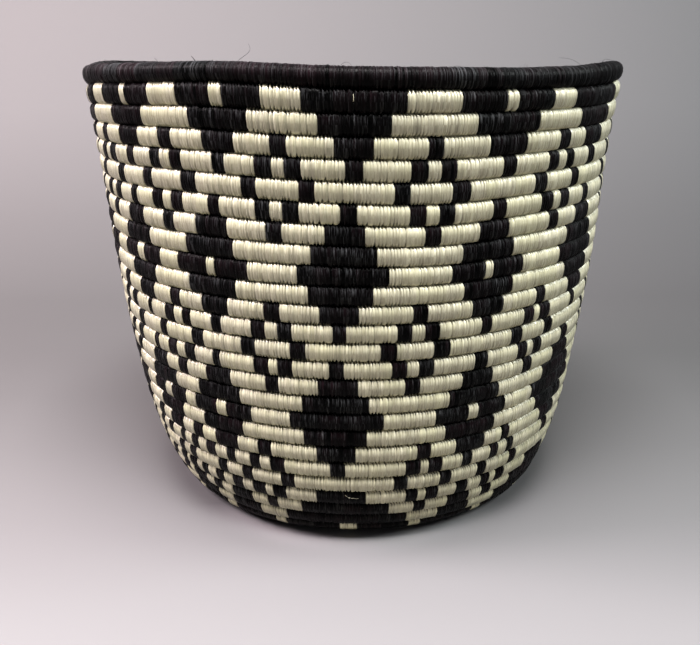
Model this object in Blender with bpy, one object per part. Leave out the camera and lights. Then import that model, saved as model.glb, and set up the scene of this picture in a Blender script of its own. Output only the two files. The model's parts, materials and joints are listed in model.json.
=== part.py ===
"""Coiled sisal basket.

A bundle of dry grass is wound from the middle of the base, out to its edge and up the wall to the rim.
Every turn of it is wrapped in sisal. Each wall row here is the sisal sleeve of one turn, and the grass
core runs through all the sleeves in three lengths. The front of the basket faces -Y.

Turns and stitch lines are counted down from the rim: the rim is turn 0, the wall rows are turns 1 to 25,
and the base turns follow. Stitch line N is the lower edge of turn N, at the front of the basket.
"""
import math

import bmesh
import bpy
import numpy as np
from mathutils import Vector
from mathutils.kdtree import KDTree

# Wall and base, in metres and degrees
WALL_ROWS = 25
TOP_RADIUS = 0.162          # radius of the stitch line under the rim, at the front
ROW_PITCH = 0.0105          # from one stitch line to the next, along the wall
WALL_ANGLES = (               # share of the rows passed from the rim, lean of the wall from upright
    (0.00, 8.8),
    (0.20, 3.8),
    (0.32, 3.8),
    (0.56, 7.0),
    (0.72, 7.2),
    (0.80, 13.0),
    (0.96, 31.5),
)
BASE_EDGE_ANGLES = (        # stitch lines passed from the last wall row's own, lean there
    (0, 60.0),
    (1, 86.0),
    (2, 90.0),
)
CENTRE_HOLE = 0.001         # radius left open inside the first turn of the base
START_THICKNESS = 0.0037    # thickness with which the coil starts there
FOOT_CUT = 0.0005           # depth of the flat worn on the underside of the base

# Section of a wrapped row
ROW_DEPTH = 0.0105          # through the wall, crown to crown
ROW_CROWN = 0.002           # how far a row stands out from its stitch lines
ROW_FLAT = 0.0058           # width of the band where two rows press together
WRAP_THICKNESS = 0.00125    # sisal round the grass core

# Section of the rim, which is a thicker turn
RIM_HEIGHT = 0.0118
RIM_DEPTH = 0.0125
RIM_CROWN = 0.0036
RIM_TAPER = 0.25            # share of a turn over which the end of the coil thins out
RIM_TIP = 0.2               # share of the rim's thickness left at that end

# Clearances
ROW_GAP = 0.0003            # between two rows, and between two ends that meet
BASE_GAP = 0.0007           # between the turns of the base
CORE_GAP = 0.0003           # between the grass core and its sleeve

# Where the grass core is divided, as the last turn of its upper length
UPPER_CORE_ROWS = 12

# Fineness of the model
HALF_FACETS = 9             # flats in half a turn
FACETS = 2 * HALF_FACETS
STEPS_PER_ROW = 20          # steps in which the wall's profile is summed
WELD_TOLERANCE = 1e-6
SHARP_ANGLE = math.radians(50)

# Colours of the three fibres
NATURAL_SISAL = ("natural_sisal", (0.78, 0.71, 0.50, 1.0), 0.55)
BLACK_SISAL = ("black_sisal", (0.018, 0.015, 0.017, 1.0), 0.42)
DRY_GRASS = ("dry_grass", (0.52, 0.40, 0.20, 1.0), 0.80)
BLACK_ROW_SPACING = 8       # every eighth row, from the first, crosses the diamonds at their widest


def lean_points():
    """Stitch lines at which the lean of the wall is given, and the lean there in radians."""
    points = [(share * WALL_ROWS, lean) for share, lean in WALL_ANGLES]
    points += [(WALL_ROWS + passed, lean) for passed, lean in BASE_EDGE_ANGLES]
    lines, leans = zip(*points)
    return np.array(lines), np.radians(leans)


LEAN_LINES, LEAN_ANGLES = lean_points()


def lean_at(line):
    """Lean of the wall from upright at a stitch line; the base lies at a right angle to upright."""
    return np.interp(line, LEAN_LINES, LEAN_ANGLES)


def sum_profile():
    """Radius and height of the stitch surface, stepped down the wall and in across the base."""
    first, last = -2, WALL_ROWS + len(BASE_EDGE_ANGLES) + math.ceil(TOP_RADIUS / ROW_PITCH)
    lines = np.linspace(first, last, (last - first) * STEPS_PER_ROW + 1)
    step = ROW_PITCH / STEPS_PER_ROW
    middles = lean_at(lines[:-1] + 0.5 / STEPS_PER_ROW)
    radii = np.concatenate([[0.0], np.cumsum(-np.sin(middles) * step)])
    heights = np.concatenate([[0.0], np.cumsum(-np.cos(middles) * step)])
    radii += TOP_RADIUS - np.interp(0.0, lines, radii)
    heights += ROW_CROWN - FOOT_CUT - heights[-1]
    return lines, radii, heights


PROFILE_LINES, PROFILE_RADII, PROFILE_HEIGHTS = sum_profile()

# The flats of a turn lie as far inside its true circle as their corners lie outside it
CORNER_GAIN = 2.0 / (1.0 + math.cos(math.pi / FACETS))


def radius_at(line):
    """Radius of the stitch surface."""
    return float(np.interp(line, PROFILE_LINES, PROFILE_RADII))


def coil_point(turn, rise, out):
    """Point of a turn: rise goes up the wall from its lower stitch line, out goes square to the wall."""
    line = turn - rise / ROW_PITCH
    lean = lean_at(line)
    radius = (radius_at(line) + out * math.cos(lean)) * CORNER_GAIN
    height = np.interp(line, PROFILE_LINES, PROFILE_HEIGHTS) - out * math.sin(lean)
    angle = 2.0 * math.pi * turn
    return Vector((radius * math.sin(angle), -radius * math.cos(angle), height))


def centre_turn():
    """Turn at which the coil starts, with its first thickness round the hole in the middle of the base."""
    edge = WALL_ROWS + len(BASE_EDGE_ANGLES)
    return edge + 1 + (radius_at(edge) - CENTRE_HOLE - START_THICKNESS) / ROW_PITCH


def ramp(turn, start, length):
    """0 at start, rising evenly to 1 after length, and 1 from there on."""
    return min(1.0, max(0.0, (turn - start) / length))


def coil_size(turn):
    """Lower and upper edge, depth and middle of the coil, by its rise up the wall and its way out.

    It has row size in the wall, is full in the rim and thins out at the rim's end and at the centre.
    """
    fullness = ramp(-turn, -0.5, RIM_TAPER)
    height = ROW_PITCH + (RIM_HEIGHT - ROW_PITCH) * fullness
    depth = ROW_DEPTH + (RIM_DEPTH - ROW_DEPTH) * fullness
    crown = ROW_CROWN + (RIM_CROWN - ROW_CROWN) * fullness
    lower = max(0.0, CENTRE_HOLE - radius_at(turn))
    tip = RIM_TIP + (1.0 - RIM_TIP) * ramp(turn, -0.5, RIM_TAPER)
    upper = lower + (height - lower) * tip
    return lower, upper, depth * (upper - lower) / height, crown - depth / 2


def sleeve_section(gap, foot_cut=0.0):
    """Outline of a wrapped turn: flats where it meets its neighbours, a crown outside and inside."""
    def outline(turn):
        lower, upper, depth, middle = coil_size(turn)
        centre, across = (lower + upper) / 2, (upper - lower - gap) / 2
        through, flat = depth / 2, ROW_FLAT / 2 * depth / ROW_DEPTH
        worn = across * foot_cut / (through - flat)
        crown = [(centre, middle + through)]
        if foot_cut:
            ground = middle + through - foot_cut
            crown = [(centre + worn, ground), (centre - worn, ground)]
        return [(centre + across, middle + flat)] + crown + [
            (centre - across, middle + flat),
            (centre - across, middle - flat),
            (centre, middle - through),
            (centre + across, middle - flat),
        ]
    return outline


def core_section(clearance=0.0):
    """Outline of the room inside the wrapping, or of the core when it keeps its clearance."""
    def outline(turn):
        lower, upper, depth, middle = coil_size(turn)
        inset = WRAP_THICKNESS * depth / ROW_DEPTH + clearance * math.sqrt(2.0)
        centre, across = (lower + upper) / 2, (upper - lower) / 2 - inset
        through = depth / 2 - inset
        return [
            (centre + across, middle),
            (centre, middle + through),
            (centre - across, middle),
            (centre, middle - through),
        ]
    return outline


def stations(first, last):
    """Turns at which a length of coil is laid: every flat's corner, and both ends short of their gap."""
    first += ROW_GAP / 2 / (2.0 * math.pi * TOP_RADIUS)
    last -= ROW_GAP / 2 / (2.0 * math.pi * TOP_RADIUS)
    corners = range(math.ceil(first * FACETS), math.floor(last * FACETS) + 1)
    return [first] + [corner / FACETS for corner in corners] + [last]


def wind_skin(bm, turns, outline):
    """Adds an open tube: a flat grid is wound along the turns and its long edges are welded."""
    station_of = bm.verts.layers.int["station"]
    lengths, sides = len(turns) - 1, len(outline(turns[0]))
    grid = bmesh.ops.create_grid(bm, x_segments=lengths, y_segments=sides, size=0.5)
    for vert in grid["verts"]:
        station = round((vert.co.x + 0.5) * lengths)
        corner = round((vert.co.y + 0.5) * sides) % sides
        vert.co = coil_point(turns[station], *outline(turns[station])[corner])
        vert[station_of] = station
    bmesh.ops.remove_doubles(bm, verts=grid["verts"], dist=WELD_TOLERANCE)


def close_end(bm, station):
    """Fills the flat end of the coil at one station, leaving any bore open."""
    station_of = bm.verts.layers.int["station"]
    rims = [
        edge for edge in bm.edges
        if edge.is_boundary and all(vert[station_of] == station for vert in edge.verts)
    ]
    bmesh.ops.triangle_fill(bm, edges=rims, use_beauty=True)


def least_gap(turns, outline):
    """Least distance between corners of the tube that lie at least half a turn apart."""
    points = [coil_point(turn, *corner) for turn in turns for corner in outline(turn)]
    sides = len(outline(turns[0]))
    tree = KDTree(len(points))
    for index, point in enumerate(points):
        tree.insert(point, index)
    tree.balance()
    gaps = []
    for index, point in enumerate(points):
        near = tree.find_range(point, 2 * ROW_PITCH)
        gaps += [far for _, other, far in near if abs(other - index) > sides * HALF_FACETS]
    return min(gaps)


def add_coil(name, first, last, skins, fibre):
    """Adds one length of coil as a closed solid, standing on its own first stitch line."""
    mesh = bpy.data.meshes.new(name)
    bm = bmesh.new()
    bm.verts.layers.int.new("station")
    turns = stations(first, last)
    for outline in skins:
        wind_skin(bm, turns, outline)
    for station in (0, len(turns) - 1):
        close_end(bm, station)
    bmesh.ops.recalc_face_normals(bm, faces=bm.faces)
    stand = Vector((0.0, 0.0, coil_point(round(first + 0.5), 0.0, 0.0).z))
    bmesh.ops.translate(bm, verts=bm.verts, vec=-stand)
    bm.to_mesh(mesh)
    bm.free()
    mesh.shade_smooth()
    mesh.set_sharp_from_angle(angle=SHARP_ANGLE)
    mesh.materials.append(fibre_material(*fibre))
    coil = bpy.data.objects.new(name, mesh)
    coil.location = stand
    coil.parent = AXIS
    BASKET.objects.link(coil)
    if last - first > 1.0:
        print(f"{name}: least gap to itself {least_gap(turns, skins[0]) * 1000:.2f} mm")


def fibre_material(name, colour, roughness):
    """Material of one fibre, made once and shared by all that is wound of it."""
    material = bpy.data.materials.get(name) or bpy.data.materials.new(name)
    material.use_nodes = True
    shader = material.node_tree.nodes["Principled BSDF"]
    shader.inputs["Base Color"].default_value = colour
    shader.inputs["Roughness"].default_value = roughness
    shader.inputs["Metallic"].default_value = 0.0
    return material


def add_rim():
    """Sleeve of the rim, whose free end thins out at the back of the basket."""
    add_coil("rim_wrap", -0.5, 0.5, [sleeve_section(ROW_GAP), core_section()], BLACK_SISAL)


def add_wall_rows():
    """Sleeves of the wall rows; each ends at the back, where the next one carries on."""
    for row in range(1, WALL_ROWS + 1):
        fibre = BLACK_SISAL if (row - 1) % BLACK_ROW_SPACING == 0 else NATURAL_SISAL
        sleeve = [sleeve_section(ROW_GAP), core_section()]
        add_coil(f"wall_row_{row:02d}_wrap", row - 0.5, row + 0.5, sleeve, fibre)


def add_base():
    """Sleeve of the base, one unbroken spiral from the wall's foot to the middle."""
    sleeve = [sleeve_section(BASE_GAP, FOOT_CUT), core_section()]
    add_coil("base_wrap", WALL_ROWS + 0.5, centre_turn(), sleeve, BLACK_SISAL)


def add_cores():
    """The grass core in three lengths that meet end to end inside the sleeves."""
    core = [core_section(CORE_GAP)]
    add_coil("upper_grass_core", -0.5, UPPER_CORE_ROWS + 0.5, core, DRY_GRASS)
    add_coil("lower_grass_core", UPPER_CORE_ROWS + 0.5, WALL_ROWS + 0.5, core, DRY_GRASS)
    add_coil("base_grass_core", WALL_ROWS + 0.5, centre_turn(), core, DRY_GRASS)


for leftover in list(bpy.data.objects):
    bpy.data.objects.remove(leftover, do_unlink=True)

BASKET = bpy.data.collections.new("Sisal Basket")
bpy.context.scene.collection.children.link(BASKET)
AXIS = bpy.data.objects.new("basket_axis", None)
BASKET.objects.link(AXIS)

add_rim()
add_wall_rows()
add_base()
add_cores()
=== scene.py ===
"""Looks of the coiled sisal basket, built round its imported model.

Every turn of the coil is wrapped anew, bundle by bundle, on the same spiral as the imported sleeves, and the
diamonds come from which bundles are black. Turns and stitch lines are counted down from the rim: the rim
is turn 0, the wall rows are turns 1 to 25, and the base turns follow. The front of the basket faces -Y.
"""
import json
import math

import bmesh
import bpy
import numpy as np
from mathutils import Matrix, Vector


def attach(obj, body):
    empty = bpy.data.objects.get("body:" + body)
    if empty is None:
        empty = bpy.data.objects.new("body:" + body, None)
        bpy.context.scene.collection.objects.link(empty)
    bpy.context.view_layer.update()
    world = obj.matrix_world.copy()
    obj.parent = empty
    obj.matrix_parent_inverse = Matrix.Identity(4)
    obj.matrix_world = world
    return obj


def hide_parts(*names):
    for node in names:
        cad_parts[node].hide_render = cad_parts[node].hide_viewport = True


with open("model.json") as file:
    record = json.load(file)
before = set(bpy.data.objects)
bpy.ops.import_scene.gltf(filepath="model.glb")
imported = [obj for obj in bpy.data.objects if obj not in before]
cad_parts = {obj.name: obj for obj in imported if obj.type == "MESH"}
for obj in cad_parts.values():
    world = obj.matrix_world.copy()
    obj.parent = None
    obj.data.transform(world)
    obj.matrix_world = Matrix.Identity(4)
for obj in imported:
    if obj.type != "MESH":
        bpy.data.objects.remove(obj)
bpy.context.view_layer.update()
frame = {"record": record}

# Coil, in metres and degrees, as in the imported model
WALL_ROWS = 25
TOP_RADIUS = 0.162          # radius of the stitch line under the rim, at the front
ROW_PITCH = 0.0105          # from one stitch line to the next, along the wall
ROW_DEPTH = 0.0105          # through the wall, crown to crown
ROW_CROWN = 0.002           # how far a row stands out from its stitch lines
WALL_LEAN = (               # share of the rows passed from the rim, lean of the wall from upright
    (0.00, 8.8),
    (0.20, 3.8),
    (0.32, 3.8),
    (0.56, 7.0),
    (0.72, 7.2),
    (0.80, 13.0),
    (0.96, 31.5),
    (1.00, 60.0),
    (1.04, 86.0),
    (1.08, 90.0),
)
BASE_EDGE_TURNS = 3         # turns from the foot of the wall until the base is level
CENTRE_HOLE = 0.001         # radius left open inside the first turn of the base
START_THICKNESS = 0.0037    # thickness with which the coil starts there
FOOT_CUT = 0.0005           # depth of the flat worn on the underside of the base
PROFILE_START = -2          # stitch line above the rim from which the wall's profile is summed
PROFILE_STEPS = 20          # and its steps per row
JOIN = 0.5                  # turns from the front to the back, where one row passes into the next
UPPER_CORE_ROWS = 12        # last turn of the grass core's upper length

# Rim, the last turn of the coil, only as high and deep as it looks
RIM_HEIGHT = 0.0090
RIM_DEPTH = 0.0107
RIM_CROWN = 0.0015
RIM_TAPER = 0.25            # share of a turn over which the end of the coil thins out
RIM_TIP = 0.06              # share of the rim's thickness left at that end

# Handmade unevenness: where the rows sag or ride up. Degrees and row of the middle, reach in degrees
# and in rows, and how far the rows lie too low there, in metres.
SAGS = (
    (-30, 3, 18, 4.2, -0.0020),
    (15, 6, 15, 3.4, 0.0017),
    (-62, 14.5, 22, 5.0, 0.0026),
    (50, 18, 15, 2.5, -0.0011),
    (35, 22, 28, 1.8, 0.0014),
    (76, 1, 13, 3.0, -0.0014),
    (-76, 0, 14, 3.0, 0.0032),
    (38, -0.5, 24, 1.4, 0.0011),
    (-22, -0.2, 15, 1.3, -0.0019),
    (105, 7, 22, 5.0, 0.0014),
    (142, 13, 20, 5.0, -0.0015),
    (-148, 7, 25, 6.0, 0.0014),
    (172, 18, 20, 4.0, 0.0012),
    (-108, 6, 20, 4.0, -0.0012),
    (120, 20, 20, 4.0, -0.0010),
    (148, -0.5, 42, 2.5, 0.0040),
)
SAG_ENDS = 25.0             # line at which the sagging has faded out, above the base
BULGES = (                  # and where the wall stands out too far, or too little
    (-90, 0, 35, 2.0, -0.0009),
    (-80, 21, 32, 3.4, -0.0024),
    (78, 11, 30, 9.0, 0.0011),
    (62, 25, 34, 2.4, 0.0034),
    (-46, 24.0, 14, 1.8, -0.0014),
    (-8, 26.5, 16, 1.2, -0.0020),
    (150, 15, 40, 5.0, 0.0012),
    (-140, 19, 35, 4.0, -0.0011),
)
RIM_SWELLS = (              # degrees, reach, and how much thicker the rim is there
    (62, 16, 0.0016),
    (-76, 16, 0.0007),
)
RIM_TONES = (                     # and where the rim's wraps are lighter or darker round the basket; the last is how much lighter it is
    (-50, 0, 28, 0.4, 1.3),
    (72, 0, 24, 0.4, -1.0),
)

# Wraps: bundles of sisal strands laid side by side round the coil
WRAP_PITCH = 0.00162
WRAP_STRAY = 0.25           # share of its width by which the edge of a wrap strays
WRAP_THICKNESS = 0.00165    # down to the room for the grass core
CORE_CLEARANCE = 0.0003
WRAP_STAND = 0.00007        # spread of how far single wraps stand out
WRAP_TILT = 0.00006         # spread of how much further out one shoulder of a wrap is
STAND_LOST = 0.7            # share of both that is lost where a wrap dives
ROW_PRESS = 0.00060         # how far a row presses into each of its neighbours
TOP_POWER = 2.7             # a row's upper half: 2 is an ellipse, more is squarer
UNDER_POWER = 3.1           # its lower half, pressed onto the row below
RIM_POWER = 2.3
WALL_SECTION = (0, 22, 42, 58, 72, 88, 118, 150)    # degrees from the outer crown, up and down alike
BASE_SECTION = (0, 32, 58, 80, 110, 145)
SHOULDERS = (0.0, 0.24, 0.76)            # across a wrap: its groove and its two shoulders
TIP_NARROWING = 0.25        # share of its width that each shoulder gives up where a wrap dives
BOTTOM_NARROWING = 0.8      # and how much of that it gives up below
STRAND_WRAPS = (4, 11)      # wraps that one strand makes before the next is drawn in
LENGTH_STEPS = 360          # steps per turn in which the coil's length is summed

# Stretches of the section: degrees up or down from the outer crown at which each sets in, and how many
# more until it is full
DIVES_UNDER = (26, 38)      # a wrap dives under the row above
DIVES_DOWN = (12, 52)       # or down onto the row below
GOES_INSIDE = (104, 40)
PRESSED = (68, 16)          # two rows press on each other
PARTED = (98, 20)           # and part again
UNDERSIDE_SHADE_FROM = (-28, 30)            # painted shade sets in round the crown
UNDERSIDE_SHADE_ENDS = (18, 46)            # and mostly fades out again below it
MEETING = (76, 14)          # two rows shade each other in their joint
INNER_SIDE = 110            # degrees from which nothing is shaded

# Grooves between the wraps, in metres
DEEPEST_GROOVE = 0.0017     # however open it is
GROOVE_CROWN = 0.00018
GROOVE_TOP = 0.00130        # where a wrap dives under the row above
GROOVE_BOTTOM = 0.00100
GROOVE_INSIDE = 0.00028
GROOVE_PRESSED = 0.00008    # where two rows press on each other
GROOVE_SPREAD = 0.60        # how much single grooves differ
SPREAD_LIMITS = (-2.0, 2.6)     # most that one may differ, in spreads
COLOUR_CHANGE = 0.9         # how much more a groove opens where the colour changes

# Slant: how far a wrap strays along the row before it dives, in metres
SLANT_TOP = 0.00080
SLANT_BOTTOM = 0.00035
SLANT_USUAL = 0.75          # usual share of it, and how much a slow drift and chance change that
SLANT_DRIFT = 0.45
SLANT_CHANCE = 0.15
SLANT_RUN = 14              # wraps in one run of the drift

# Tones, and shade painted into the wraps' colour
TONE_CHANCE = 0.7           # how much chance and a quick drift change the tone of a wrap
TONE_DRIFT = 0.5
TONE_RUN = 4
GROOVE_SHADE = 0.24         # painted shade of a groove on the crown
DIVE_SHADES = (1.5, 0.9)    # and how much of the rest it gains where its wraps dive, above and below
SHADE_LIMITS = (0.2, 2.0)   # least and most openness that a groove's shade follows
PAINTED_UNDERSIDE_SHADE = 0.39           # painted shade on the lower side of the crown, where the light from above falls off
UNDERSIDE_SHADE_LOST = 0.8             # share of that which is gone further down
MEETING_SHADES = (0.08, 0.04)   # painted shade in the joint above, and in the one below

HALF_TURN = 180.0           # degrees from the front to the back, where the turns join
PER_METRE = 1000            # millimetres
SEED = 25


def profile():
    """Radius, height and lean of the stitch surface, stepped down the wall and in across the base."""
    last = WALL_ROWS + BASE_EDGE_TURNS + math.ceil(TOP_RADIUS / ROW_PITCH)
    lines = np.linspace(PROFILE_START, last, (last - PROFILE_START) * PROFILE_STEPS + 1)
    shares, degrees = zip(*WALL_LEAN)
    lean_lines, leans = np.array(shares) * WALL_ROWS, np.radians(degrees)
    middles = np.interp(lines[:-1] + 0.5 / PROFILE_STEPS, lean_lines, leans)
    step = ROW_PITCH / PROFILE_STEPS
    radii = np.concatenate([[0.0], np.cumsum(-np.sin(middles) * step)])
    heights = np.concatenate([[0.0], np.cumsum(-np.cos(middles) * step)])
    radii += TOP_RADIUS - np.interp(0.0, lines, radii)
    heights += ROW_CROWN - FOOT_CUT - heights[-1]
    return lines, radii, heights, np.interp(lines, lean_lines, leans)


LINES, RADII, HEIGHTS, LEANS = profile()


def radius_at(line):
    """Radius of the stitch surface."""
    return np.interp(line, LINES, RADII)


def mid_radius(turn):
    """Radius of the stitch surface half a row above its line, as for the middle of a turn."""
    return radius_at(turn - 0.5)


def degrees_away(degrees, middle):
    """How far round the basket an angle lies from the middle, from -180 to 180."""
    return (degrees - middle + HALF_TURN) % (2 * HALF_TURN) - HALF_TURN


def bell(degrees, middle, reach):
    """1 at the middle, falling off softly on both sides of it, round the basket."""
    return np.exp(-(degrees_away(degrees, middle) / reach) ** 2)


def unevenness(places, line, turn):
    """How far the coil strays at a place on the wall, summed from the bells of a table."""
    strayed = 0.0
    for middle, row, reach, rows, most in places:
        near = np.exp(-((line - row) / rows) ** 2)
        strayed = strayed + most * bell(turn * 2 * HALF_TURN, middle, reach) * near
    return strayed


def coil_points(turn, rise, out, along=0.0):
    """Points of the coil: rise goes up the wall from the turn's lower stitch line, out goes square to
    the wall, and along goes round the basket."""
    line = turn - rise / ROW_PITCH
    line = line + unevenness(SAGS, line, turn) * np.clip(SAG_ENDS - line, 0.0, 1.0) / ROW_PITCH
    lean = np.interp(line, LINES, LEANS)
    radius = radius_at(line) + out * np.cos(lean) + unevenness(BULGES, line, turn)
    height = np.interp(line, LINES, HEIGHTS) - out * np.sin(lean)
    angle = 2.0 * np.pi * turn + along / np.maximum(radius_at(turn), ROW_PITCH)
    return np.stack([radius * np.sin(angle), -radius * np.cos(angle), np.maximum(height, 0.0)], axis=-1)


def ramp(value, start, length):
    """0 at start, rising evenly to 1 after length, and 1 from there on."""
    return np.clip((value - start) / length, 0.0, 1.0)


def ease(value, start, length):
    """As ramp, but with a soft start and end."""
    share = ramp(value, start, length)
    return share * share * (3.0 - 2.0 * share)


def coil_size(turn):
    """Centre, half height, half depth and middle of the coil's section, by its rise and its way out."""
    fullness = ramp(-turn, -JOIN, RIM_TAPER)
    swollen = sum(swell * bell(turn * 2 * HALF_TURN, middle, reach)
                  for middle, reach, swell in RIM_SWELLS)
    height = ROW_PITCH + (RIM_HEIGHT + swollen - ROW_PITCH) * fullness
    depth = ROW_DEPTH + (RIM_DEPTH - ROW_DEPTH) * fullness
    crown = ROW_CROWN + (RIM_CROWN - ROW_CROWN) * fullness
    lower = np.maximum(0.0, CENTRE_HOLE - radius_at(turn))
    tip = RIM_TIP + (1.0 - RIM_TIP) * ramp(turn, -JOIN, RIM_TAPER)
    upper = lower + (height - lower) * tip
    through = depth * (upper - lower) / height / 2
    return (lower + upper) / 2, (upper - lower) / 2, through, crown - depth / 2


def centre_turn():
    """Turn at which the coil starts, round the hole in the middle of the base."""
    edge = WALL_ROWS + BASE_EDGE_TURNS
    return edge + 1 + (float(radius_at(edge)) - CENTRE_HOLE - START_THICKNESS) / ROW_PITCH


# Pattern. Columns of diamonds have their middles on rows 1, 9 and 17, and their feet join in a band at
# the base. Angles are in degrees from the front of the basket, to the right; the maker's own drift is kept.
COLUMNS = 14
CELL = 360.0 / 140          # width of the smallest block
DRIFT_ROWS = (1, 4, 8, 12, 15, 18, 21, 25)
SEEN_COLUMNS = (            # middles of the columns in front, on the drift rows; the rest are even
    (-68.5, -68.6, -69.5, -71.0, -70.5, -68.0, -64.0, -63.0),
    (-46.0, -47.2, -49.0, -49.1, -49.0, -48.3, -46.4, -46.0),
    (-23.2, -24.1, -28.1, -28.6, -30.2, -30.6, -29.9, -30.8),
    (0.2, 0.3, -1.7, -2.9, -3.5, -4.2, -3.6, -1.9),
    (28.2, 29.0, 26.4, 27.3, 26.7, 26.4, 27.3, 26.9),
    (54.0, 54.8, 54.2, 56.2, 55.1, 54.6, 55.7, 57.0),
    (86.5, 87.3, 87.3, 88.0, 88.0, 88.0, 88.0, 88.0),
)
SOLID_COLUMNS = (3, 5, 7, 9, 11, 13)     # the others have one natural block in their middles
DIAMOND_WIDTHS = {          # by middle row: width of the seen columns' diamonds, as a share of the usual
    1: (0.95, 0.91, 0.90, 0.95, 1.09, 1.10, 1.0),
    9: (0.90, 0.78, 0.89, 0.96, 0.93, 0.95, 1.0),
    17: (0.90, 0.80, 0.88, 1.09, 1.03, 1.14, 1.0),
}
DIAMOND_CELLS = (7.0, 4.9, 2.9, 1.1)     # usual width in cells, from the middle row up or down
HOLLOW_CELLS = 0.85         # width of the natural block in a diamond's middle
RING_ROWS = (5, 13, 21)     # small open diamonds between the columns
RING_REACH = 2              # rows and cells from a ring's middle to its tips
RING_CELL = 1.05            # a ring's cell against the usual, and the width of its blocks in cells
RING_BLOCK = 1.2
RING_DRIFT_ROWS = (3, 7, 11, 15, 19, 23)
SEEN_RINGS = (              # middles of the rings in front, on their own drift rows
    (-57.5, -58.4, -59.6, -61.0, -56.5, -53.5),
    (-35.8, -37.7, -38.9, -40.2, -39.4, -38.5),
    (-12.5, -14.0, -16.0, -16.9, -20.5, -21.3),
    (14.2, 14.3, 12.9, 11.7, 15.6, 16.5),
    (43.2, 42.5, 41.5, 40.6, 37.4, 36.7),
    (70.8, 70.8, 72.0, 72.0, 73.0, 73.0),
)
FOOT_SHIFT = 3.7            # degrees by which the wide feet push the lowest of the other rings aside
FOOT_CELLS = {              # width in cells of a solid column's foot and of another's, by row
    22: (4.6, 1.25),
    23: (8.4, 2.5),
    24: (12.2, 3.8),
}
RIM_LEAD = 45.0             # row 1 is black this far from where the rim grows out of it, in degrees
BAND_ROW = 25
BAND_RING_CELLS = 1.35      # natural blocks left in the black band under a ring
BAND_COLUMN_CELLS = 1.85    # and under a solid column


def column_angles(row):
    """Middles of all the columns on one row; those out of sight share the rest of the turn evenly."""
    seen = [np.interp(row, DRIFT_ROWS, drift) for drift in SEEN_COLUMNS]
    hidden = np.linspace(seen[-1], seen[0] + 2 * HALF_TURN, COLUMNS - len(seen) + 2)[1:-1]
    return np.concatenate([seen, hidden])


def ring_angles(row, columns, solid):
    """Middles of the rings on one row; those out of sight are midway between a column and the next."""
    middles = (columns + np.append(columns[1:], columns[0] + 2 * HALF_TURN)) / 2
    if row >= RING_DRIFT_ROWS[-2]:
        middles += FOOT_SHIFT * (solid.astype(float) - np.roll(solid, -1))
    middles[:len(SEEN_RINGS)] = [np.interp(row, RING_DRIFT_ROWS, drift) for drift in SEEN_RINGS]
    return middles


def hits(angle, middles, cells):
    """Whether the angle lies in a block of so many cells round one of the middles."""
    away = degrees_away(angle, np.asarray(middles))
    return bool((np.abs(away) < np.asarray(cells) * CELL / 2).any())


def in_diamond(row, angle, columns, solid):
    """Whether the angle lies in the black of a large diamond."""
    middle = min(DIAMOND_WIDTHS, key=lambda diamond_row: abs(row - diamond_row))
    steps = abs(row - middle)
    if steps >= len(DIAMOND_CELLS) or steps == 0 and hits(angle, columns[~solid], HOLLOW_CELLS):
        return False
    widths = np.ones(COLUMNS)
    widths[:len(SEEN_COLUMNS)] = DIAMOND_WIDTHS[middle]
    return hits(angle, columns, DIAMOND_CELLS[steps] * widths)


def is_black(row, angle):
    """Whether the wrap at this angle of a row is black."""
    if not 1 <= row <= WALL_ROWS or row == 1 and angle < RIM_LEAD - HALF_TURN:
        return True
    columns = column_angles(row)
    solid = np.isin(np.arange(COLUMNS), SOLID_COLUMNS)
    rings = ring_angles(row, columns, solid)
    if row == BAND_ROW:
        under_ring = hits(angle, rings, BAND_RING_CELLS)
        return not (under_ring or hits(angle, columns[solid], BAND_COLUMN_CELLS))
    if row in FOOT_CELLS:
        black = hits(angle, columns, np.where(solid, *FOOT_CELLS[row]))
    else:
        black = in_diamond(row, angle, columns, solid)
    steps = min(abs(row - middle) for middle in RING_ROWS)
    if steps <= RING_REACH:
        reach = (RING_REACH - steps) * CELL * RING_CELL
        black = black or hits(angle, np.concatenate([rings - reach, rings + reach]), RING_BLOCK)
    return black


# Materials
UV_STRANDS = (2.6, 0.11)    # streaks per wrap, and their stretch along the strand, per millimetre
STREAK_DETAIL = 4.0
STREAK_ROUGHNESS = 0.6
STREAK_FULL = 0.64          # noise from which a streak has its whole colour
STREAK_DEPTH = 0.00022
WORN_NOISE = (0.3, 0.7)     # noise between which the strands grow rougher
WORN = 0.08                 # and by how much, either way
SOFT_SCALE = 14.0           # slow patches of a strand's own colour
SOFT_DETAIL = 2.0
PAINTED_SHADE_SEEN = (0.05, 0.80)     # painted shade values between which its dark colour sets in
SHEEN_ROUGHNESS = 0.4


def add_node(tree, kind, **settings):
    """A node of the tree with its settings."""
    made = tree.nodes.new("ShaderNode" + kind)
    for setting, value in settings.items():
        setattr(made, setting, value)
    return made


def feed(tree, node, **sockets):
    """Links or sets a node's inputs, named by their place: i0, i1 and so on."""
    for socket, source in sockets.items():
        target = node.inputs[int(socket[1:])]
        if isinstance(source, bpy.types.NodeSocket):
            tree.links.new(source, target)
        else:
            target.default_value = source
    return node


def reckon(tree, operation, *values, kind="Math", output=0, **settings):
    """Result of a Math node, or of another kind that works in the same way."""
    node = add_node(tree, kind, operation=operation, **settings)
    sockets = {f"i{place}": value for place, value in enumerate(values)}
    return feed(tree, node, **sockets).outputs[output]


def mix_colour(tree, blend, share, first, second):
    """Colour mixed from two by a share."""
    mix = add_node(tree, "Mix", data_type="RGBA", blend_type=blend)
    feed(tree, mix, i0=share, i6=first, i7=second)
    return mix.outputs[2]


def map_range(tree, value, low, high, new_low, new_high):
    """Value moved from one range to another, and kept in it."""
    mapped = add_node(tree, "MapRange")
    feed(tree, mapped, i0=value, i1=low, i2=high, i3=new_low, i4=new_high)
    return mapped.outputs[0]


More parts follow.
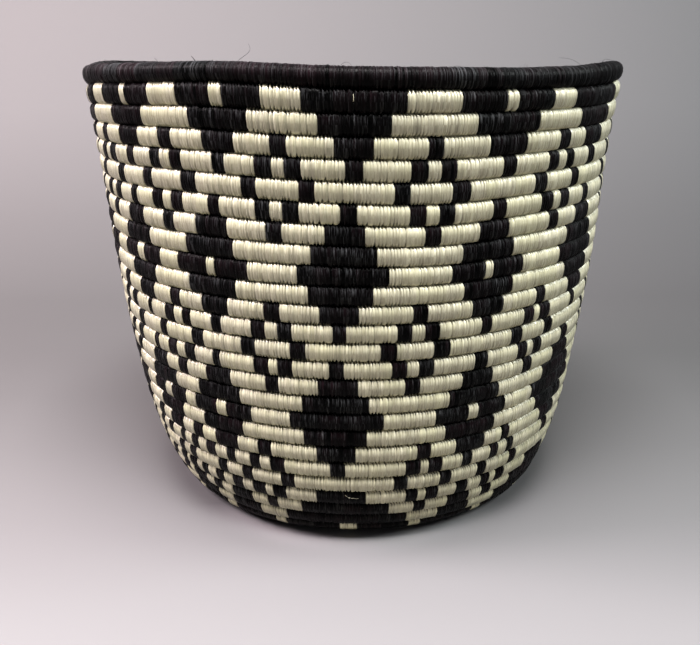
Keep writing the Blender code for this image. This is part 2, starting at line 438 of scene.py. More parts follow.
def add_sockets(face):
    """Inputs of the strand group, with their usual values, and its outputs."""
    for name, kind, value in (
        ("Colour", "NodeSocketColor", (0.8, 0.8, 0.8, 1.0)),
        ("Streak Colour", "NodeSocketColor", (0.5, 0.5, 0.5, 1.0)),
        ("Lot Colour", "NodeSocketColor", (0.5, 0.5, 0.5, 1.0)),
        # colour of the shade painted into grooves, joints and under the crown
        ("Crevice Colour", "NodeSocketColor", (0.0, 0.0, 0.0, 1.0)),
        ("Streaks", "NodeSocketFloat", 0.5),
        ("Streak Start", "NodeSocketFloat", 0.4),
        ("Wrap Contrast", "NodeSocketFloat", 0.2),
        ("Roughness", "NodeSocketFloat", 0.5),
        ("Relief", "NodeSocketFloat", 0.4),
    ):
        face.new_socket(name, in_out="INPUT", socket_type=kind).default_value = value
    for name, kind in (
        ("Colour", "NodeSocketColor"),
        ("Roughness", "NodeSocketFloat"),
        ("Normal", "NodeSocketVector"),
    ):
        face.new_socket(name, in_out="OUTPUT", socket_type=kind)


def strand_group():
    """Node group for wound strands: colour, roughness and relief that follow them round the coil."""
    group = bpy.data.node_groups.new("wound_strands", "ShaderNodeTree")
    add_sockets(group.interface)
    given = group.nodes.new("NodeGroupInput").outputs
    made = group.nodes.new("NodeGroupOutput").inputs

    uv = add_node(group, "UVMap", uv_map="UVMap").outputs[0]
    strands = reckon(group, "MULTIPLY", uv, (*UV_STRANDS, 1.0), kind="VectorMath")
    noise = add_node(group, "TexNoise", noise_dimensions="2D")
    streaks = feed(group, noise, i0=strands, i2=1.0, i3=STREAK_DETAIL, i4=STREAK_ROUGHNESS).outputs[0]
    place = add_node(group, "TexCoord").outputs["Object"]
    noise = add_node(group, "TexNoise")
    soft = feed(group, noise, i0=place, i2=SOFT_SCALE, i3=SOFT_DETAIL).outputs[0]
    tone, lot, crevice = (add_node(group, "Attribute", attribute_name=attribute).outputs["Fac"]
                          for attribute in (WRAP_TONE, DYE_LOT, PAINTED_SHADE))

    streak = map_range(group, streaks, given["Streak Start"], STREAK_FULL, 0.0, 1.0)
    share = reckon(group, "MULTIPLY", streak, given["Streaks"])
    colour = mix_colour(group, "MIX", share, given["Colour"], given["Streak Colour"])
    patch = reckon(group, "MULTIPLY", lot, soft, use_clamp=True)
    colour = mix_colour(group, "MIX", patch, colour, given["Lot Colour"])
    shade = reckon(group, "MULTIPLY_ADD", tone, given["Wrap Contrast"], 1.0)
    shaded = add_node(group, "VectorMath", operation="SCALE")
    feed(group, shaded, i0=colour, i3=shade)
    # painted shade: the colour darkens towards the shade colour in grooves, joints and under the crown
    deep = map_range(group, crevice, *PAINTED_SHADE_SEEN, 0.0, 1.0)
    colour = mix_colour(group, "MIX", deep, shaded.outputs[0], given["Crevice Colour"])
    group.links.new(colour, made["Colour"])

    worn = map_range(group, streaks, *WORN_NOISE, -WORN, WORN)
    group.links.new(reckon(group, "ADD", worn, given["Roughness"]), made["Roughness"])
    bump = add_node(group, "Bump")
    feed(group, bump, i0=given["Relief"], i1=STREAK_DEPTH)
    group.links.new(streak, bump.inputs["Height"])
    group.links.new(bump.outputs[0], made["Normal"])
    return group


def strand_material(name, group, sheen, specular, ior, gleam, **values):
    """Material of one fibre: the strand group, with its own values, on a soft shader."""
    material = bpy.data.materials.new(name)
    material.use_nodes = True
    tree = material.node_tree
    shader = tree.nodes["Principled BSDF"]
    strands = tree.nodes.new("ShaderNodeGroup")
    strands.node_tree = group
    for socket, value in values.items():
        strands.inputs[socket.replace("_", " ").title()].default_value = value
    for made, socket in (("Colour", "Base Color"), ("Roughness", "Roughness"), ("Normal", "Normal")):
        tree.links.new(strands.outputs[made], shader.inputs[socket])
    for socket, value in (
        ("Specular IOR Level", specular),
        ("IOR", ior),
        ("Specular Tint", gleam),
        ("Sheen Weight", sheen),
        ("Sheen Roughness", SHEEN_ROUGHNESS),
    ):
        shader.inputs[socket].default_value = value
    return material


# Attributes of the wound pieces
STATION = "station"
WRAP_TONE = "wrap_tone"     # on faces: how light a wrap is, round 0
DYE_LOT = "dye_lot"         # on faces: from 0 to 1, and the same for all wraps of one strand
PAINTED_SHADE = "crevice"         # on points: painted shade, 1 at the bottom of a deep groove, and also set under a row's crown and in the joints between rows

# Insides of the wound pieces
BORE_SIDES = 8
BORE_STEPS = 72             # stations of a bore or a core per turn
CORE_STALKS = 14            # points round the grass bundle
CORE_LOBES = 0.07           # depth of the furrows between its stalks, as a share of its radius
STALK_TWIST = 4.0           # furrows change places this often per turn
WELD = 1e-7                 # points closer than this are one


def mesh_from(bm, name):
    """New mesh from a bmesh that has served its turn."""
    mesh = bpy.data.meshes.new(name)
    bm.to_mesh(mesh)
    bm.free()
    return mesh


def wind_tube(name, points, along=None, black=None, on_faces=None, on_points=None):
    """Open tube whose rings are given: a flat grid is laid onto them, for its long edges to be welded.

    The UV map runs in wraps along the coil and in millimetres round its section.
    """
    rings, sides = points.shape[:2]
    bm = bmesh.new()
    bm.loops.layers.uv.new("UVMap")
    bmesh.ops.create_grid(bm, x_segments=rings - 1, y_segments=sides, size=0.5)
    mesh = mesh_from(bm, name)
    flat = np.empty(len(mesh.vertices) * 3, np.float32)
    mesh.vertices.foreach_get("co", flat)
    flat = flat.reshape(-1, 3) + 0.5
    ring = np.rint(flat[:, 0] * (rings - 1)).astype(np.int32)
    side = np.rint(flat[:, 1] * sides).astype(np.int32)
    mesh.vertices.foreach_set("co", points[ring, side % sides].astype(np.float32).ravel())
    mesh.attributes.new(STATION, "INT", "POINT").data.foreach_set("value", ring)
    for attribute, values in (on_points or {}).items():
        layer = mesh.attributes.new(attribute, "FLOAT", "POINT")
        layer.data.foreach_set("value", values[ring, side % sides].astype(np.float32))
    corners = np.empty(len(mesh.loops), np.int32)
    mesh.loops.foreach_get("vertex_index", corners)
    wrap = ring[corners].reshape(-1, 4).min(axis=1) // len(SHOULDERS)
    for attribute, values in (on_faces or {}).items():
        layer = mesh.attributes.new(attribute, "FLOAT", "FACE")
        layer.data.foreach_set("value", values[wrap].astype(np.float32))
    if black is not None:
        mesh.polygons.foreach_set("material_index", black[wrap].astype(np.int32))
    if along is not None:
        ring_sides = np.linalg.norm(np.diff(points[0], axis=0, append=points[0, :1]), axis=1)
        around = np.concatenate([[0.0], np.cumsum(ring_sides)]) * PER_METRE
        spread = np.stack([along[ring[corners]], around[side[corners]]], axis=-1)
        mesh.uv_layers[0].data.foreach_set("uv", spread.astype(np.float32).ravel())
    return mesh


def close_tube(mesh, bore=None):
    """Welds the tube's long seam, sets the bore in it, closes both ends and turns the faces outwards."""
    bm = bmesh.new()
    bm.from_mesh(mesh)
    if bore is not None:
        bm.from_mesh(bore)
        bpy.data.meshes.remove(bore)
    bmesh.ops.remove_doubles(bm, verts=bm.verts, dist=WELD)
    station = bm.verts.layers.int[STATION]
    open_edges = [edge for edge in bm.edges if edge.is_boundary]
    for first_end in (True, False):
        rims = [edge for edge in open_edges if (edge.verts[0][station] == 0) == first_end]
        bmesh.ops.triangle_fill(bm, edges=rims, use_beauty=True)
    bmesh.ops.recalc_face_normals(bm, faces=bm.faces)
    bm.to_mesh(mesh)
    bm.free()
    mesh.attributes.remove(mesh.attributes[STATION])
    return mesh


def add_object(name, data):
    """New object in the scene."""
    added = bpy.data.objects.new(name, data)
    bpy.context.scene.collection.objects.link(added)
    return added


def add_piece(mesh, materials, slot, *nodes):
    """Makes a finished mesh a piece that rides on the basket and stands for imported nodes."""
    for material in materials:
        mesh.materials.append(material)
    mesh.shade_smooth()
    piece = add_object(mesh.name, mesh)
    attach(piece, "root")
    if nodes:
        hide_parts(*nodes)
    return piece


def lengths_along(first, last):
    """Turns from first to last, and how far along the coil each lies."""
    turns = np.linspace(first, last, max(2, int((last - first) * LENGTH_STEPS)))
    radii = mid_radius((turns[1:] + turns[:-1]) / 2)
    steps = 2 * np.pi * np.maximum(radii, CENTRE_HOLE) * np.diff(turns)
    return turns, np.concatenate([[0.0], np.cumsum(steps)])


def wrap_edges(rng, first, last):
    """Turns at which one wrap ends and the next begins, at a handmade spacing."""
    turns, lengths = lengths_along(first, last)
    count = round(lengths[-1] / WRAP_PITCH)
    places = np.linspace(0.0, count, count + 1)
    places[1:-1] += rng.uniform(-WRAP_STRAY, WRAP_STRAY, count - 1)
    return np.interp(places * lengths[-1] / count, lengths, turns)


def drift(rng, count, run):
    """Smooth random values from -1 to 1, one for each wrap, that change over a run of wraps."""
    knots = rng.uniform(-1.0, 1.0, count // run + 3)
    return np.interp(np.arange(count) / run + rng.uniform(), np.arange(len(knots)), knots)


def strand_lots(rng, count):
    """A value from 0 to 1 for each wrap: all wraps of one strand share it, and strands soon run out."""
    ends = np.cumsum(rng.integers(*STRAND_WRAPS, count))
    return rng.uniform(size=count)[np.searchsorted(ends, np.arange(count), side="right")]


def wrap_rings(edges):
    """Rings of points along the coil, one in each groove and one on each shoulder of a wrap: the turn of
    each, the last groove up to it, its wrap, and its side of the wrap, which is 0 in the grooves."""
    widths = np.diff(edges)[:, None]
    turns = np.append((edges[:-1, None] + widths * SHOULDERS).ravel(), edges[-1])
    groove, part = np.divmod(np.arange(len(turns)), len(SHOULDERS))
    side = np.select([part == 1, part == 2], [1.0, -1.0], 0.0)
    return turns, groove, np.minimum(groove, len(widths) - 1), side


def row_section(row):
    """Degrees of the section's points, once round from the outer crown upwards, and how far up and out
    each lies on a unit circle that is squared like the row."""
    half = WALL_SECTION if row <= WALL_ROWS else BASE_SECTION
    angles = np.radians(half + tuple(-angle for angle in reversed(half[1:])))
    degrees = np.degrees(angles)
    power = np.where(degrees > 0, TOP_POWER, UNDER_POWER) if row > 0 else RIM_POWER
    up, out = np.sin(angles), np.cos(angles)
    up, out = (np.sign(way) * np.abs(way) ** (2 / power) for way in (up, out))
    return degrees, up, out


def groove_openness(rng, black):
    """How open each groove is against the usual; those at the two ends of the length are just that."""
    openness = 1 + GROOVE_SPREAD * rng.standard_normal(len(black) + 1).clip(*SPREAD_LIMITS)
    openness[1:-1] += COLOUR_CHANGE * (black[1:] != black[:-1])
    openness[[0, -1]] = 1.0
    return openness


def wrap_slants(rng, count):
    """How far each wrap strays along the row, as a share of the full slant."""
    slow = SLANT_USUAL + SLANT_DRIFT * drift(rng, count, SLANT_RUN)
    return slow + SLANT_CHANCE * rng.standard_normal(count)


def groove_depths(degrees, row):
    """Depth of the groove between two wraps round the section, and how near each point is to diving
    under the row above and onto the row below. Nothing lies above the rim, so its wraps run on there."""
    top = ease(degrees, *DIVES_UNDER) * (1 - ease(degrees, *GOES_INSIDE)) * (row > 0)
    bottom = ease(-degrees, *DIVES_DOWN) * (1 - ease(-degrees, *GOES_INSIDE))
    inside = ease(np.abs(degrees), *GOES_INSIDE)
    crown = 1 - np.clip(top + bottom + inside, 0, 1)
    depth = GROOVE_CROWN * crown + GROOVE_TOP * top + GROOVE_BOTTOM * bottom + GROOVE_INSIDE * inside
    pressed = ease(np.abs(degrees), *PRESSED) * (1 - ease(np.abs(degrees), *PARTED))
    pressed = pressed * ((row > 0) | (degrees < 0))
    return depth + (GROOVE_PRESSED - depth) * pressed, top, bottom


def crevice_shade(degrees, row, top, bottom, in_groove, openness):
    """Shade painted on each point: in the grooves, under the crown and in the joints between rows."""
    dives = DIVE_SHADES[0] * top + DIVE_SHADES[1] * bottom
    grooved = openness.clip(*SHADE_LIMITS) * (GROOVE_SHADE + (1 - GROOVE_SHADE) * dives)
    # painted shade: a row's lower side is darker where the light from above doesn't reach
    underside_shade = PAINTED_UNDERSIDE_SHADE * ease(-degrees, *UNDERSIDE_SHADE_FROM) * (1 - UNDERSIDE_SHADE_LOST * ease(-degrees, *UNDERSIDE_SHADE_ENDS))
    meeting = np.where(degrees > 0, *MEETING_SHADES) * ease(np.abs(degrees), *MEETING)
    shade = np.maximum(np.where(in_groove, grooved, 0.0), underside_shade * (degrees > -INNER_SIDE))
    shade = np.maximum(shade, meeting * (np.abs(degrees) < INNER_SIDE) * (row > 0))
    return np.clip(shade, 0, 1)


def wrapped_coil(name, row, first, last):
    """One length of coil with all its wraps, natural and black, and hollow for the grass core."""
    rng = np.random.default_rng(SEED + row)
    edges = wrap_edges(rng, first, last)
    turns, groove, wrap, side = wrap_rings(edges)
    middles = (edges[:-1] + edges[1:]) / 2 - row
    black = np.array([is_black(row, 2 * HALF_TURN * place) for place in middles])
    count = len(black)
    openness = groove_openness(rng, black)[groove][:, None]
    stand = WRAP_STAND * rng.standard_normal(count)
    slant = wrap_slants(rng, count)[wrap]
    slant[[0, -1]] = 0.0        # so that two lengths meet squarely
    tilt = WRAP_TILT * rng.standard_normal(count)

    degrees, up, out = row_section(row)
    depth, top, bottom = groove_depths(degrees, row)
    centre, half_height, half_depth, middle = (size[:, None] for size in coil_size(turns))
    half_height = half_height + ROW_PRESS
    stand = (stand[wrap] + tilt[wrap] * side)[:, None] * (1 - STAND_LOST * (top + bottom))
    in_groove = side[:, None] == 0
    sunk = np.minimum(np.where(in_groove, depth * openness, -stand), DEEPEST_GROOVE)
    scale = 1 - sunk / np.hypot(half_height * up, half_depth * out)
    width = (np.diff(edges)[wrap] * 2 * np.pi * mid_radius(turns))[:, None]
    narrowed = side[:, None] * TIP_NARROWING * width * (top + BOTTOM_NARROWING * bottom)
    strayed = slant[:, None] * (SLANT_TOP * top ** 2 + SLANT_BOTTOM * bottom ** 2)
    points = coil_points(turns[:, None], centre + half_height * up * scale,
                         middle + half_depth * out * scale, narrowed - strayed)

    tone = (TONE_CHANCE * rng.standard_normal(count) + TONE_DRIFT * drift(rng, count, TONE_RUN)
            + unevenness(RIM_TONES, row, middles))
    lot = strand_lots(rng, count)
    # shade painted onto each point of the section
    shade = crevice_shade(degrees, row, top, bottom, in_groove, openness)
    mesh = wind_tube(name, points, np.arange(len(turns)) / len(SHOULDERS), black,
                     {WRAP_TONE: tone, DYE_LOT: lot}, {PAINTED_SHADE: shade})
    return close_tube(mesh, inner_tube(name + "_bore", first, last, WRAP_THICKNESS, BORE_SIDES))


def inner_tube(name, first, last, inset, stalks, lobes=0.0):
    """Open tube a little way inside the coil's surface, round or with the ribs of a bundle of stalks."""
    count = max(3, round((last - first) * BORE_STEPS) + 1)
    turns = np.linspace(first, last, count)
    centre, half_height, half_depth, middle = (size[:, None] for size in coil_size(turns))
    share = 1 - inset / (ROW_DEPTH / 2)
    angles = np.linspace(0, 2 * np.pi, stalks, endpoint=False)
    twist = 2 * np.pi * STALK_TWIST * turns[:, None]
    share = share * (1 - lobes * (0.5 + 0.5 * np.cos(np.pi * np.arange(stalks) + twist)))
    points = coil_points(turns[:, None], centre + half_height * share * np.sin(angles),
                         middle + half_depth * share * np.cos(angles))
    return wind_tube(name, points, turns * BORE_STEPS)


# Loose fibres: turn, thickness, and the points each runs through, in degrees from the front, up from the
# turn's lower stitch line and out from the wall. Lengths are in millimetres.
BLACK_FIBRES = (
    (0, 0.20, ((-54.5, 8.6, -4.0), (-54.8, 10.8, -4.0), (-54.0, 11.6, -3.8), (-52.4, 10.4, -3.6),
               (-50.8, 8.6, -3.6))),
    (0, 0.26, ((-35.8, 8.6, -4.0), (-36.0, 10.2, -4.0), (-36.5, 11.6, -3.9))),
    (0, 0.45, ((-27.2, 8.6, -4.0), (-27.4, 10.2, -4.0), (-27.9, 12.0, -3.9))),
    (0, 0.20, ((-19.3, 8.7, -4.0), (-18.7, 10.5, -3.9), (-17.6, 12.6, -3.8), (-16.7, 14.6, -3.6),
               (-16.5, 16.4, -3.8), (-16.8, 18.4, -4.0))),
    (0, 0.16, ((-1.9, 8.5, -4.0), (-1.6, 10.4, -3.9), (-0.8, 11.3, -3.8), (-0.2, 10.4, -3.6),
               (0.2, 8.5, -3.4))),
    (0, 0.24, ((16.4, 8.6, -4.0), (17.1, 9.9, -3.9), (18.1, 10.0, -3.9), (18.9, 8.7, -4.0))),
    (0, 0.16, ((47.5, 9.2, -4.0), (45.5, 11.5, -3.8), (43.3, 13.0, -3.6), (41.0, 13.8, -3.4),
               (39.0, 14.0, -3.2))),
    (0, 0.20, ((53.5, 9.2, -4.0), (56.0, 10.8, -4.0), (57.5, 12.8, -3.9), (60.0, 12.4, -3.8),
               (66.0, 11.2, -3.0), (72.0, 9.6, -1.5))),
)
PALE_FIBRES = (
    (1, 0.30, ((0.20, 8.6, 1.40), (0.25, 7.3, 1.95), (0.25, 6.2, 2.15), (0.20, 5.4, 2.15))),
    (22, 0.22, ((-2.6, 9.0, 0.7), (-2.1, 7.9, 1.75), (-1.1, 7.0, 2.15), (0.0, 6.8, 2.20), (0.7, 6.75, 2.00))),
    (23, 0.18, ((5.90, 9.6, 0.1), (5.85, 8.6, 1.25), (5.80, 7.4, 1.90))),
    (23, 0.14, ((1.70, 9.2, 0.6), (1.65, 8.4, 1.40), (1.60, 7.6, 1.85))),
)
FUZZ = (                    # short fibres on the rim: how many, from and to which degrees, and the longest
    (10, -4.6, -0.4, 1.3),
    (8, 20.0, 60.0, 1.2),
    (8, -75.0, -20.0, 1.2),
    (26, 75.0, 285.0, 4.0),
)
FUZZ_THICKNESS = 0.17
FUZZ_SHORTEST = 0.4         # as a share of the longest
FUZZ_ROOT = 0.5             # depth of its root in the rim
FUZZ_SWAY = (0.2, 0.5)      # degrees by which its middle and its tip stray
FUZZ_BELLY = 1.5            # how far its middle bends out or in
CORNER_CUTS = 3             # times that a fibre's path is smoothed
FIBRE_SIDES = 5
FIBRE_TIP = 0.45            # share of a fibre's thickness left at its end
SKEW = (0.35, 0.80, 0.25)   # a direction that no fibre runs in


def smoothed(path):
    """The path with its corners cut off a few times."""
    for _ in range(CORNER_CUTS):
        before, after = path[:-1], path[1:]
        cut = np.stack([0.75 * before + 0.25 * after, 0.25 * before + 0.75 * after], axis=1)
        path = np.concatenate([path[:1], cut.reshape(-1, 3), path[-1:]])
    return path


def fibre_rings(row, thickness, path):
    """Rings of a thin tube along a loose fibre, finer towards its end."""
    degrees, up, out = np.array(path).T
    centres = smoothed(coil_points(row + degrees / (2 * HALF_TURN), up / PER_METRE, out / PER_METRE))
    forward = np.gradient(centres, axis=0)
    side = np.cross(forward, SKEW)
    side /= np.linalg.norm(side, axis=1)[:, None]
    lift = np.cross(side, forward)
    lift /= np.linalg.norm(lift, axis=1)[:, None]
    angles = np.linspace(0, 2 * np.pi, FIBRE_SIDES, endpoint=False)[:, None]
    radius = thickness / (2 * PER_METRE) * np.linspace(1.0, FIBRE_TIP, len(centres))[:, None, None]
    return centres[:, None] + radius * (side[:, None] * np.cos(angles) + lift[:, None] * np.sin(angles))


def fuzz(rng):
    """Short fibres that stand off the rim at random places."""
    top, through = RIM_HEIGHT * PER_METRE, (RIM_CROWN - RIM_DEPTH / 2) * PER_METRE
    for count, first, last, longest in FUZZ:
        for degrees in rng.uniform(first, last, count):
            length, lean = longest * rng.uniform(FUZZ_SHORTEST, 1.0), rng.uniform(-1.0, 1.0, 3)
            yield 0, FUZZ_THICKNESS, (
                (degrees, top - FUZZ_ROOT, through + lean[0]),
                (degrees + FUZZ_SWAY[0] * lean[1], top + 0.5 * length, through + FUZZ_BELLY * lean[0]),
                (degrees + FUZZ_SWAY[1] * lean[2], top + length,
                 through + (lean[0] + lean[1]) * length / 2))


def loose_fibres(name, fibres, material, slot):
    """All the loose fibres of one colour, as one piece."""
    bm = bmesh.new()
    for fibre in fibres:
        tube = close_tube(wind_tube(name, fibre_rings(*fibre)))
        bm.from_mesh(tube)
        bpy.data.meshes.remove(tube)
    add_piece(mesh_from(bm, name), [material], slot)


def make_materials():
    """The three fibres' materials."""
    strands = strand_group()
    # Each fibre's crevice colour is painted shade for its grooves, joints and the lower side of its rows.
    natural = strand_material(
        "natural_sisal", strands, sheen=0.10, specular=1.0, ior=1.62, gleam=(1.0, 0.95, 0.84, 1),
        colour=(0.62, 0.588, 0.456, 1), streak_colour=(0.26, 0.24, 0.155, 1),
        lot_colour=(0.48, 0.465, 0.295, 1), crevice_colour=(0.030, 0.024, 0.011, 1),
        streaks=0.85, streak_start=0.39, wrap_contrast=0.13, roughness=0.33, relief=0.5)
    black = strand_material(
        "black_sisal", strands, sheen=0.0, specular=0.034, ior=1.5, gleam=(1, 1, 1, 1),
        colour=(0.0008, 0.0008, 0.0009, 1), streak_colour=(0.030, 0.0308, 0.0332, 1),
        lot_colour=(0.0070, 0.0030, 0.0042, 1), crevice_colour=(0.0003, 0.0003, 0.0003, 1),
        streaks=0.95, streak_start=0.49, wrap_contrast=0.7, roughness=0.34, relief=1.0)
    grass = strand_material(
        "dry_grass", strands, sheen=0.0, specular=0.25, ior=1.5, gleam=(1, 1, 1, 1),
        colour=(0.52, 0.40, 0.20, 1), streak_colour=(0.36, 0.25, 0.11, 1),
        lot_colour=(0.45, 0.40, 0.2, 1), crevice_colour=(0.1, 0.07, 0.03, 1),
        streaks=0.8, wrap_contrast=0.2, roughness=0.75, relief=0.6)
    return natural, black, grass


def make_cores(grass):
    """The grass bundle inside the wraps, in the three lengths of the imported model."""
    inset = WRAP_THICKNESS + CORE_CLEARANCE
    upper, lower = UPPER_CORE_ROWS + JOIN, WALL_ROWS + JOIN
    for name, first, last in (
        ("upper_grass_core", -JOIN, upper),
        ("lower_grass_core", upper, lower),
        ("base_grass_core", lower, centre_turn()),
    ):
        mesh = inner_tube(name + "_stalks", first, last, inset, CORE_STALKS, CORE_LOBES)
        add_piece(close_tube(mesh), [grass], "dry_grass", name)


def make_coil(natural, black):
    """The rim, the wall rows and the base, each wrapped all the way. Rim and base are all black."""
    slots = {part["node"]: part["material_slot"] for part in frame["record"]["subparts"]}
    names = ["rim", *(f"wall_row_{row:02d}" for row in range(1, WALL_ROWS + 1)), "base"]
    for row, name in enumerate(names):
        node = name + "_wrap"
        last = centre_turn() if name == "base" else row + JOIN
        mesh = wrapped_coil(name + "_wraps", row, row - JOIN, last)
        fibres = [natural, black]
        if name in ("rim", "base"):
            fibres = [black]
            mesh.polygons.foreach_set("material_index", np.zeros(len(mesh.polygons), np.int32))
        add_piece(mesh, fibres, slots[node], node)


# Camera, at the photograph's viewing angle
CAMERA_PLACE = (0.0, -0.5432, 0.2755)
CAMERA_DOWN = 0.320         # radians below level
CAMERA_TURN = -0.005        # radians to the right
CAMERA_ROLL = -0.010        # radians by which its right side is lifted
CAMERA_LENS = 41.98         # millimetres, as the sensor's width
CAMERA_SENSOR = 36.0
CAMERA_NEAR = 0.01          # metres from which it sees


def add_camera():
    """Camera just above the rim's height, close to the basket and looking down at it."""
    down, turn, roll = CAMERA_DOWN, CAMERA_TURN, CAMERA_ROLL
    forward = Vector((math.sin(turn) * math.cos(down), math.cos(turn) * math.cos(down), -math.sin(down)))
    level = Vector((math.cos(turn), -math.sin(turn), 0.0))
    upright = level.cross(forward)
    right = level * math.cos(roll) + upright * math.sin(roll)
    up = upright * math.cos(roll) - level * math.sin(roll)
    data = bpy.data.cameras.new("camera")
    data.lens, data.sensor_width = CAMERA_LENS, CAMERA_SENSOR
    data.clip_start = CAMERA_NEAR
    camera = add_object("camera", data)
    turned = Matrix((right, up, -forward)).transposed().to_4x4()
    camera.matrix_world = Matrix.Translation(CAMERA_PLACE) @ turned
    bpy.context.scene.camera = camera


# Lamps, and the grey room round them
LAMP_TARGET = (0.0, 0.0, 0.14)
LAMPS = (                   # name, place, size, power and colour
    ("overhead", (0.0, -0.44, 1.34), 0.6, 54.0, (1.0, 0.985, 0.965)),
    ("left", (-1.00, -0.20, 1.02), 0.5, 33.0, (1.0, 0.87, 0.90)),
    ("right", (1.05, -0.18, 0.86), 0.5, 14.5, (0.93, 1.0, 0.97)),
)
BACK_LAMP = ("back", (0.20, 1.20, 0.95), 0.7, 22.0, (1.0, 0.98, 0.96))     # it spares the floor
ROOM_COLOUR = (0.62, 0.62, 0.64, 1)
ROOM_STRENGTH = 0.08        # share of it that lights the basket
ROOM_SEEN = (0.38, 0.37, 0.385, 1)      # grey that the camera and glossy surfaces see


def add_area(name, place, size, power, colour, spared=None):
    """Square soft lamp that faces the basket. One that spares an object doesn't light it, is not
    shaded by it and leaves no gleam on anything."""
    data = bpy.data.lights.new(name, "AREA")
    data.shape, data.size, data.energy, data.color = "SQUARE", size, power, colour
    lamp = add_object(name, data)
    aim = (Vector(LAMP_TARGET) - Vector(place)).to_track_quat("-Z", "Y")
    lamp.matrix_world = Matrix.Translation(place) @ aim.to_matrix().to_4x4()
    if spared:
        kept_out = bpy.data.collections.new(name + "_spares")
        kept_out.objects.link(spared)
        kept_out.collection_objects[0].light_linking.link_state = "EXCLUDE"
        lamp.light_linking.receiver_collection = lamp.light_linking.blocker_collection = kept_out
        lamp.visible_glossy = False


def add_lights(floor):
    """Soft lamps overhead, warm from the left, cool from the right and from behind, in a grey room."""
    for lamp in LAMPS:
        add_area(*lamp)
    add_area(*BACK_LAMP, spared=floor)
    world = bpy.data.worlds.new("room")
    world.use_nodes = True
    tree = world.node_tree
    room = tree.nodes["Background"]
    dim = [channel * ROOM_STRENGTH for channel in ROOM_COLOUR[:3]] + [1]
    tree.links.new(mix_colour(tree, "MIX", seen_directly(tree), dim, ROOM_SEEN), room.inputs["Color"])
    bpy.context.scene.world = world


# Floor that sweeps up into a backdrop
FLOOR_WIDTH = 5.0
FLOOR_FRONT = -2.5
SWEEP_START = 0.30          # behind the basket's middle
SWEEP_RADIUS = 0.45
BACKDROP_HEIGHT = 2.0
FLOOR_SEGMENTS = (4, 120)   # across and along
SWEEP_STOPS = (             # metres along and up the sweep, and its grey there, with painted light and shade: darkest behind the basket, paler in front and up the backdrop
    (-2.50, 0.300), (-1.00, 0.210), (-0.48, 0.152), (-0.21, 0.182), (-0.15, 0.162),
    (-0.08, 0.141), (0.00, 0.118), (0.10, 0.099), (0.20, 0.091), (0.37, 0.087),
    (0.60, 0.109), (0.88, 0.149), (1.10, 0.165), (1.60, 0.188),
)
# painted light and shade: the paper is lighter and pinkish to the left, darker and cooler to the right
LEFT_PAINTED_LIGHT = (1.165, 1.09, 1.13, 1)
RIGHT_PAINTED_SHADE = (0.625, 0.63, 0.665, 1)
TINT_SIDES = (-0.5, 0.5)                # metres across between which one turns into the other
FRONT_TINT = (0.98, 0.96, 0.98, 1)      # near the camera, where both sides are as pale
TINT_FRONT = (-0.125, -0.44)            # metres forward between which that takes over
PAPER_BOUNCE = (0.215, 0.205, 0.165, 1)   # colour with which the paper lights the basket
PAPER_ROUGHNESS = 0.85
PAPER_SPECULAR = 0.2
PAINTED_FOOT_LIGHT = 2.7                        # painted light: how much paler the paper is painted close in front of the foot, to lift the lamps' shadow there
PAINTED_LIGHT_REACH = (0.119, 0.145)               # metres from the middle between which that fades out
PAINTED_LIGHT_FADE = 3.0                         # power with which it fades
PAINTED_LIGHT_FRONT = (-0.080, -0.126)           # metres forward between which it sets in
PAPER_FADES = (1.05, 1.75)              # metres from the basket between which it fades into the room


def seen_directly(tree):
    """1 for rays from the camera, and for those that a glossy or clear surface sends on."""
    rays = add_node(tree, "LightPath").outputs
    sent_on = reckon(tree, "MAXIMUM", rays["Is Glossy Ray"], rays["Is Transmission Ray"])
    return reckon(tree, "MAXIMUM", sent_on, rays["Is Camera Ray"])


def sweep_grey(tree, along):
    """Grey of the paper with its painted light and shade, by how far along the sweep a point lies."""
    first, last = SWEEP_STOPS[0][0], SWEEP_STOPS[-1][0]
    share = map_range(tree, along, first, last, 0.0, 1.0)
    greys = add_node(tree, "ValToRGB")
    stops = greys.color_ramp.elements
    while len(stops) < len(SWEEP_STOPS):
        stops.new(0.5)
    for stop, (metres, grey) in zip(stops, SWEEP_STOPS):
        stop.position, stop.color = (metres - first) / (last - first), (grey, grey, grey, 1)
    return feed(tree, greys, i0=share).outputs[0]


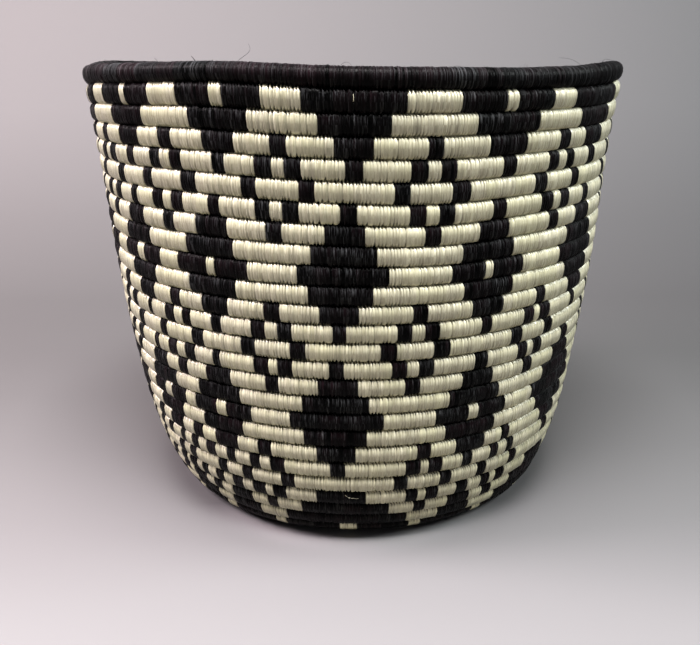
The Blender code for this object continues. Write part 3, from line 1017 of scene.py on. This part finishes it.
def paper_material():
    """Pale paper: its grey, with painted light and shade, runs along the sweep, lighter and pinkish to the
    left and darker and cooler to the right, and painted light makes it paler close in front of the basket's
    foot."""
    material = bpy.data.materials.new("floor_paper")
    material.use_nodes = True
    tree = material.node_tree
    place = add_node(tree, "TexCoord").outputs["Object"]
    along = reckon(tree, "DOT_PRODUCT", place, (0.0, 1.0, 1.0), kind="VectorMath", output="Value")
    grey = sweep_grey(tree, along)
    across = feed(tree, add_node(tree, "SeparateXYZ"), i0=place).outputs[0]
    side = map_range(tree, across, *TINT_SIDES, 0.0, 1.0)
    tint = mix_colour(tree, "MIX", side, LEFT_PAINTED_LIGHT, RIGHT_PAINTED_SHADE)
    front = map_range(tree, along, *TINT_FRONT, 0.0, 1.0)
    tint = mix_colour(tree, "MIX", front, tint, FRONT_TINT)
    paper = mix_colour(tree, "MULTIPLY", 1.0, grey, tint)
    away = reckon(tree, "LENGTH", place, kind="VectorMath", output="Value")
    # painted light on the paper close in front of the foot, where the lamps' shadow falls
    near = reckon(tree, "POWER", map_range(tree, away, *PAINTED_LIGHT_REACH, 1.0, 0.0), PAINTED_LIGHT_FADE)
    ahead = map_range(tree, along, *PAINTED_LIGHT_FRONT, 0.0, PAINTED_FOOT_LIGHT)
    paper = mix_colour(tree, "MULTIPLY", 1.0, paper, reckon(tree, "MULTIPLY_ADD", near, ahead, 1.0))
    paper = mix_colour(tree, "MIX", seen_directly(tree), PAPER_BOUNCE, paper)
    shader = tree.nodes["Principled BSDF"]
    tree.links.new(paper, shader.inputs["Base Color"])
    shader.inputs["Roughness"].default_value = PAPER_ROUGHNESS
    shader.inputs["Specular IOR Level"].default_value = PAPER_SPECULAR
    solid = map_range(tree, away, *PAPER_FADES, 1.0, 0.0)
    tree.links.new(solid, shader.inputs["Alpha"])
    return material


def add_stage():
    """Pale floor that sweeps up into a backdrop."""
    floor_length, curve_length = SWEEP_START - FLOOR_FRONT, SWEEP_RADIUS * math.pi / 2
    total = floor_length + curve_length + BACKDROP_HEIGHT
    bm = bmesh.new()
    across, along = FLOOR_SEGMENTS
    bmesh.ops.create_grid(bm, x_segments=across, y_segments=along, size=0.5)
    for vert in bm.verts:
        run = (vert.co.y + 0.5) * total
        bend = min(max(run - floor_length, 0.0), curve_length) / SWEEP_RADIUS
        y = FLOOR_FRONT + min(run, floor_length) + SWEEP_RADIUS * math.sin(bend)
        z = SWEEP_RADIUS * (1 - math.cos(bend)) + max(run - floor_length - curve_length, 0.0)
        vert.co = (vert.co.x * FLOOR_WIDTH, y, z)
    mesh = mesh_from(bm, "floor")
    mesh.shade_smooth()
    mesh.materials.append(paper_material())
    floor = add_object("floor", mesh)
    return floor


natural_sisal, black_sisal, dry_grass = make_materials()
make_cores(dry_grass)
make_coil(natural_sisal, black_sisal)
rim_fuzz = fuzz(np.random.default_rng(SEED))
loose_fibres("black_fibres", (*BLACK_FIBRES, *rim_fuzz), black_sisal, "black_sisal")
loose_fibres("pale_fibres", PALE_FIBRES, natural_sisal, "natural_sisal")
add_camera()
add_lights(add_stage())
bpy.context.scene.view_settings.view_transform = "Standard"
